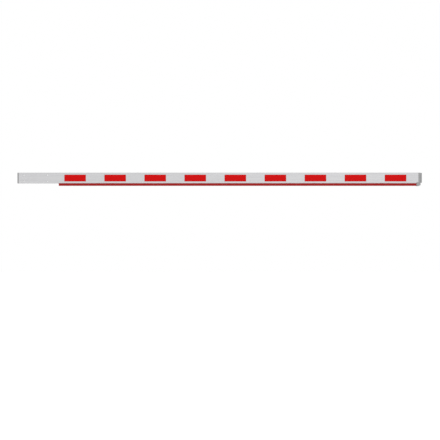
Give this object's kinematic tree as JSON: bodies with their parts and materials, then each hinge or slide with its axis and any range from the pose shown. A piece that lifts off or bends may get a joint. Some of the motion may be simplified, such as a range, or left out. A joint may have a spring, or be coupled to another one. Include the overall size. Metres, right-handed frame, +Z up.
{
  "type": "telescopic traffic barrier boom",
  "caption": "Telescopic traffic barrier boom: a drilled outer section, a sliding inner section, red reflectors and rubber bumpers below.",
  "frame": {"origin": "middle of the four mounting holes, on the rear face that lies against the barrier's arm bracket", "axes": "+X along the boom towards the tip, +Y out of the rear face, +Z up; the front face looks along -Y"},
  "size_m": [3.7505, 0.0668, 0.125],
  "materials": {
    "profile": "satin anodised",
    "cap_plastic": "fine-grained moulded",
    "red_rubber": "extruded, matt",
    "reflector": "prismatic reflective sheeting",
    "steel": "zinc plated",
    "rivet": "plain",
    "glide": "slippery nylon",
    "brass": "turned"
  },
  "bodies": {
    "outer_boom": {"outer_section": "profile", "root_cap": "cap_plastic", "mount_insert": "profile", "mount_spacer_1": "steel", "mount_spacer_2": "steel", "mount_spacer_3": "steel", "mount_spacer_4": "steel", "outer_bumper": "red_rubber", "bumper_end_plug": "red_rubber", "collar": "cap_plastic", "collar_screw_1": "steel", "collar_screw_2": "steel", "liner_top": "glide", "liner_front": "glide", "liner_rear": "glide", "lock_bush": "brass", "stop_rivet_1": "rivet", "stop_rivet_2": "rivet", "outer_reflector_front_1": "reflector", "outer_reflector_front_2": "reflector", "outer_reflector_front_3": "reflector", "outer_reflector_front_4": "reflector", "outer_reflector_front_5": "reflector", "outer_reflector_front_6": "reflector", "outer_reflector_front_7": "reflector", "outer_reflector_front_8": "reflector", "outer_reflector_front_9": "reflector", "outer_reflector_rear_1": "reflector", "outer_reflector_rear_2": "reflector", "outer_reflector_rear_3": "reflector", "outer_reflector_rear_4": "reflector", "outer_reflector_rear_5": "reflector", "outer_reflector_rear_6": "reflector", "outer_reflector_rear_7": "reflector", "outer_reflector_rear_8": "reflector", "outer_reflector_rear_9": "reflector"},
    "inner_boom": {"inner_section": "profile", "inner_bumper": "red_rubber", "guide_shoe": "glide", "shoe_pin_1": "steel", "shoe_pin_2": "steel", "tip_cap": "cap_plastic", "tip_screw_1": "steel", "tip_screw_2": "steel", "inner_reflector_front_1": "reflector", "inner_reflector_front_2": "reflector", "inner_reflector_rear_1": "reflector", "inner_reflector_rear_2": "reflector"},
    "lock_pad": {"lock_pad": "brass"},
    "lock_screw": {"lock_screw": "steel"}
  },
  "joints": [
    {"name": "inner_slide", "type": "slide", "parent": "outer_boom", "child": "inner_boom", "axis": [1, 0, 0], "range_m": [0, 1.15]},
    {"name": "lock_travel", "type": "slide", "parent": "outer_boom", "child": "lock_pad", "axis": [0, 1, 0], "range_m": [0, 0.00125]},
    {"name": "lock_turn", "type": "hinge", "parent": "lock_pad", "child": "lock_screw", "pos_m": [3.56, 0.012, 0.0285], "axis": [0, 1, 0], "range_deg": [0, 360]}
  ],
  "couplings": [
    {"joint": "lock_travel", "follows": "lock_turn", "m_per_rad": 0.0001989}
  ]
}
